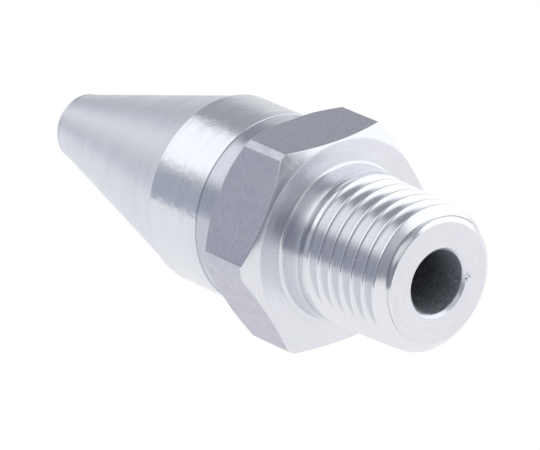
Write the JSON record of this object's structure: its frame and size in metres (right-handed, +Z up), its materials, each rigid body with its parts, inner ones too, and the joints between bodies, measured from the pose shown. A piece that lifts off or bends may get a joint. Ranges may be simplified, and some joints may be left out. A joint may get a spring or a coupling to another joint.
{
  "type": "oil burner nozzle",
  "caption": "Oil burner nozzle with a taper-threaded hexagon inlet body, a long conical nose shell, an inner strainer, a sprung cut-off valve and a swirl tip.",
  "frame": {"origin": "on the nozzle's axis, in the plane of the hexagon's thread-side shoulder", "axes": "+X along the axis towards the threaded inlet end, so the spray leaves along -X; +Z up, square to one flat of the hexagon"},
  "size_m": [0.0501, 0.0217, 0.019],
  "materials": {
    "body_aluminium": "bright machined, with turning marks and milled flats",
    "nose_aluminium": "satin turned cone, brighter turned barrel",
    "copper": "annealed copper",
    "fibre": "pressed fibre",
    "brass": "turned brass",
    "woven_steel": "fine woven stainless wire cloth",
    "seal_rubber": "matt fluorocarbon rubber",
    "ptfe": "waxy white bearing plastic",
    "spring_steel": "drawn wire",
    "stainless": "fine turned stainless steel"
  },
  "bodies": {
    "nozzle": {"inlet_body": "body_aluminium", "nose_shell": "nose_aluminium", "seam_washer": "copper", "strainer_gasket": "fibre", "strainer_base": "brass", "strainer_cage": "brass", "strainer_mesh": "woven_steel", "strainer_cap": "brass", "valve_seat": "brass", "seat_o_ring": "seal_rubber", "valve_cage": "brass", "guide_bush": "ptfe", "valve_spring": "spring_steel", "lock_screw": "brass", "swirl_distributor": "stainless", "orifice_insert": "stainless"},
    "valve": {"valve_poppet": "stainless", "poppet_seal": "seal_rubber", "seal_screw": "stainless"}
  },
  "joints": [
    {"name": "valve_slide", "type": "slide", "parent": "nozzle", "child": "valve", "axis": [-1, 0, 0], "range_m": [0, 0.001], "stiffness_N_per_m": 1500, "deforming": ["valve_spring"]}
  ]
}
